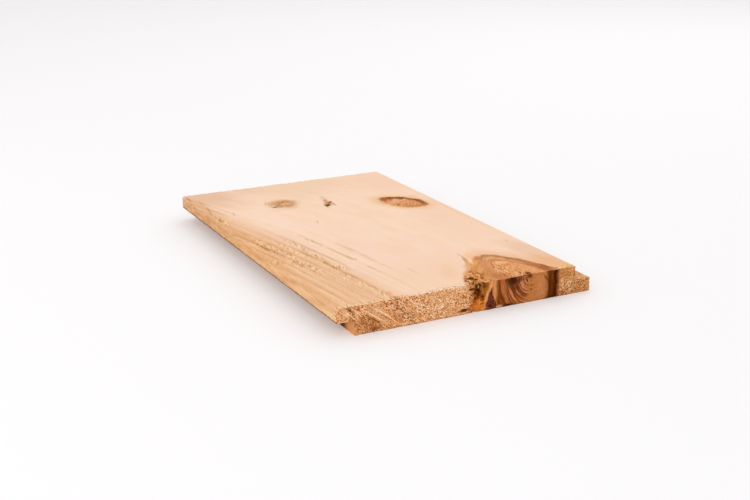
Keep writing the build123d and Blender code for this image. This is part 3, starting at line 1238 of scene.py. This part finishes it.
# Studio: a pale floor, a bright room all round, a wide soft lamp behind and to the right, and two
# weaker ones, before the board and to its left
studio = {
    "floorSize": 14.0,
    "floorColour": (0.722, 0.754, 0.778),
    "floorRoughness": 0.7,
    "floorSpecular": 0.1,
    "floorGlow": 0.25,  # only where it is seen, so the floor shows white and lights nothing
    "glowColour": (1.0, 0.82, 0.76),  # shadows are a little warmer than the floor
    "roomLight": 0.80,
    "roomColour": (1.0, 1.0, 1.0),
}
lamps = {
    "keyLamp": {"power": 3.5, "width": 1.6, "place": (0.85, 0.60, 1.10), "colour": (1.0, 0.985, 0.965)},
    "fillLamp": {"power": 2.6, "width": 1.2, "place": (-0.70, -1.00, 0.50), "colour": (1.0, 1.0, 1.0)},
    "leftLamp": {"power": 2.7, "width": 1.0, "place": (-1.15, 0.15, 0.60), "colour": (1.0, 1.0, 1.0)},
}


def seenRays():  # 1 for what the camera sees itself, in a mirror or through glass
    path = newNode("LightPath")
    seen = larger(Wire(path.outputs["Is Camera Ray"]), Wire(path.outputs["Is Glossy Ray"]))
    return larger(seen, Wire(path.outputs["Is Transmission Ray"]))


def makeFloor():  # a flat grid, one square
    half = studio["floorSize"] / 2
    u, v = np.meshgrid([-half, half], [-half, half])
    corners = np.stack([u.ravel(), v.ravel(), np.zeros(4)], -1)
    mesh = bpy.data.meshes.new("floor")
    mesh.from_pydata(corners.tolist(), [], [(0, 1, 3, 2)])
    floor = bpy.data.objects.new("floor", mesh)
    bpy.context.scene.collection.objects.link(floor)
    material, shader = newMaterial("paleFloor")
    shader.inputs["Base Color"].default_value = (*studio["floorColour"], 1.0)
    shader.inputs["Roughness"].default_value = studio["floorRoughness"]
    shader.inputs["Specular IOR Level"].default_value = studio["floorSpecular"]
    shader.inputs["Emission Color"].default_value = (*studio["glowColour"], 1.0)
    plug(shader.inputs["Emission Strength"], seenRays() * studio["floorGlow"])
    mesh.materials.append(material)


def makeRoom():  # the world lights the board at its own level and shows the camera plain white
    world = bpy.data.worlds.new("room")
    world.use_nodes = True
    Wire.tree = world.node_tree
    Wire.tree.nodes.clear()
    background = newNode("Background")
    background.inputs["Color"].default_value = (*studio["roomColour"], 1.0)
    plug(background.inputs["Strength"], studio["roomLight"] + seenRays() * (1.0 - studio["roomLight"]))
    newNode("OutputWorld", Wire(background.outputs[0]))
    bpy.context.scene.world = world


def makeLamp(name, look):  # a round area lamp that points at the middle of the board
    lamp = bpy.data.lights.new(name, "AREA")
    lamp.shape = "DISK"
    lamp.size = look["width"]
    lamp.energy = look["power"]
    lamp.color = look["colour"]
    holder = bpy.data.objects.new(name, lamp)
    holder.location = look["place"]
    holder.rotation_euler = (-Vector(look["place"])).to_track_quat("-Z", "Y").to_euler()
    bpy.context.scene.collection.objects.link(holder)


makeFloor()
makeRoom()
for lampName, lampLook in lamps.items():
    makeLamp(lampName, lampLook)
print("studio made")

# Camera, fitted to the board's corners and outlines in the photograph
camera = {
    "place": (-0.3695, -0.7340, 0.2680),
    "turn": 27.09,  # degrees to the right of the board's length
    "tilt": 17.99,  # degrees below level
    "roll": -0.18,
    "focalPixels": 1192.4,
    "imageWidth": 750,
    "sensorWidth": 36.0,
    "clip": (0.02, 50.0),
}


def makeCamera():  # looks along the turned and tilted length of the board, then rolls a little
    turn, tilt = math.radians(camera["turn"]), math.radians(camera["tilt"])
    ahead = Vector((math.cos(tilt) * math.sin(turn), math.cos(tilt) * math.cos(turn), -math.sin(tilt)))
    data = bpy.data.cameras.new("camera")
    data.sensor_width = camera["sensorWidth"]
    data.lens = camera["focalPixels"] * data.sensor_width / camera["imageWidth"]
    data.clip_start, data.clip_end = camera["clip"]
    holder = bpy.data.objects.new("camera", data)
    roll = Matrix.Rotation(math.radians(camera["roll"]), 3, "Z")
    holder.rotation_euler = (ahead.to_track_quat("-Z", "Y").to_matrix() @ roll).to_euler()
    holder.location = camera["place"]
    bpy.context.scene.collection.objects.link(holder)
    bpy.context.scene.camera = holder


makeCamera()
bpy.context.scene.view_settings.view_transform = "Standard"
print("camera set")
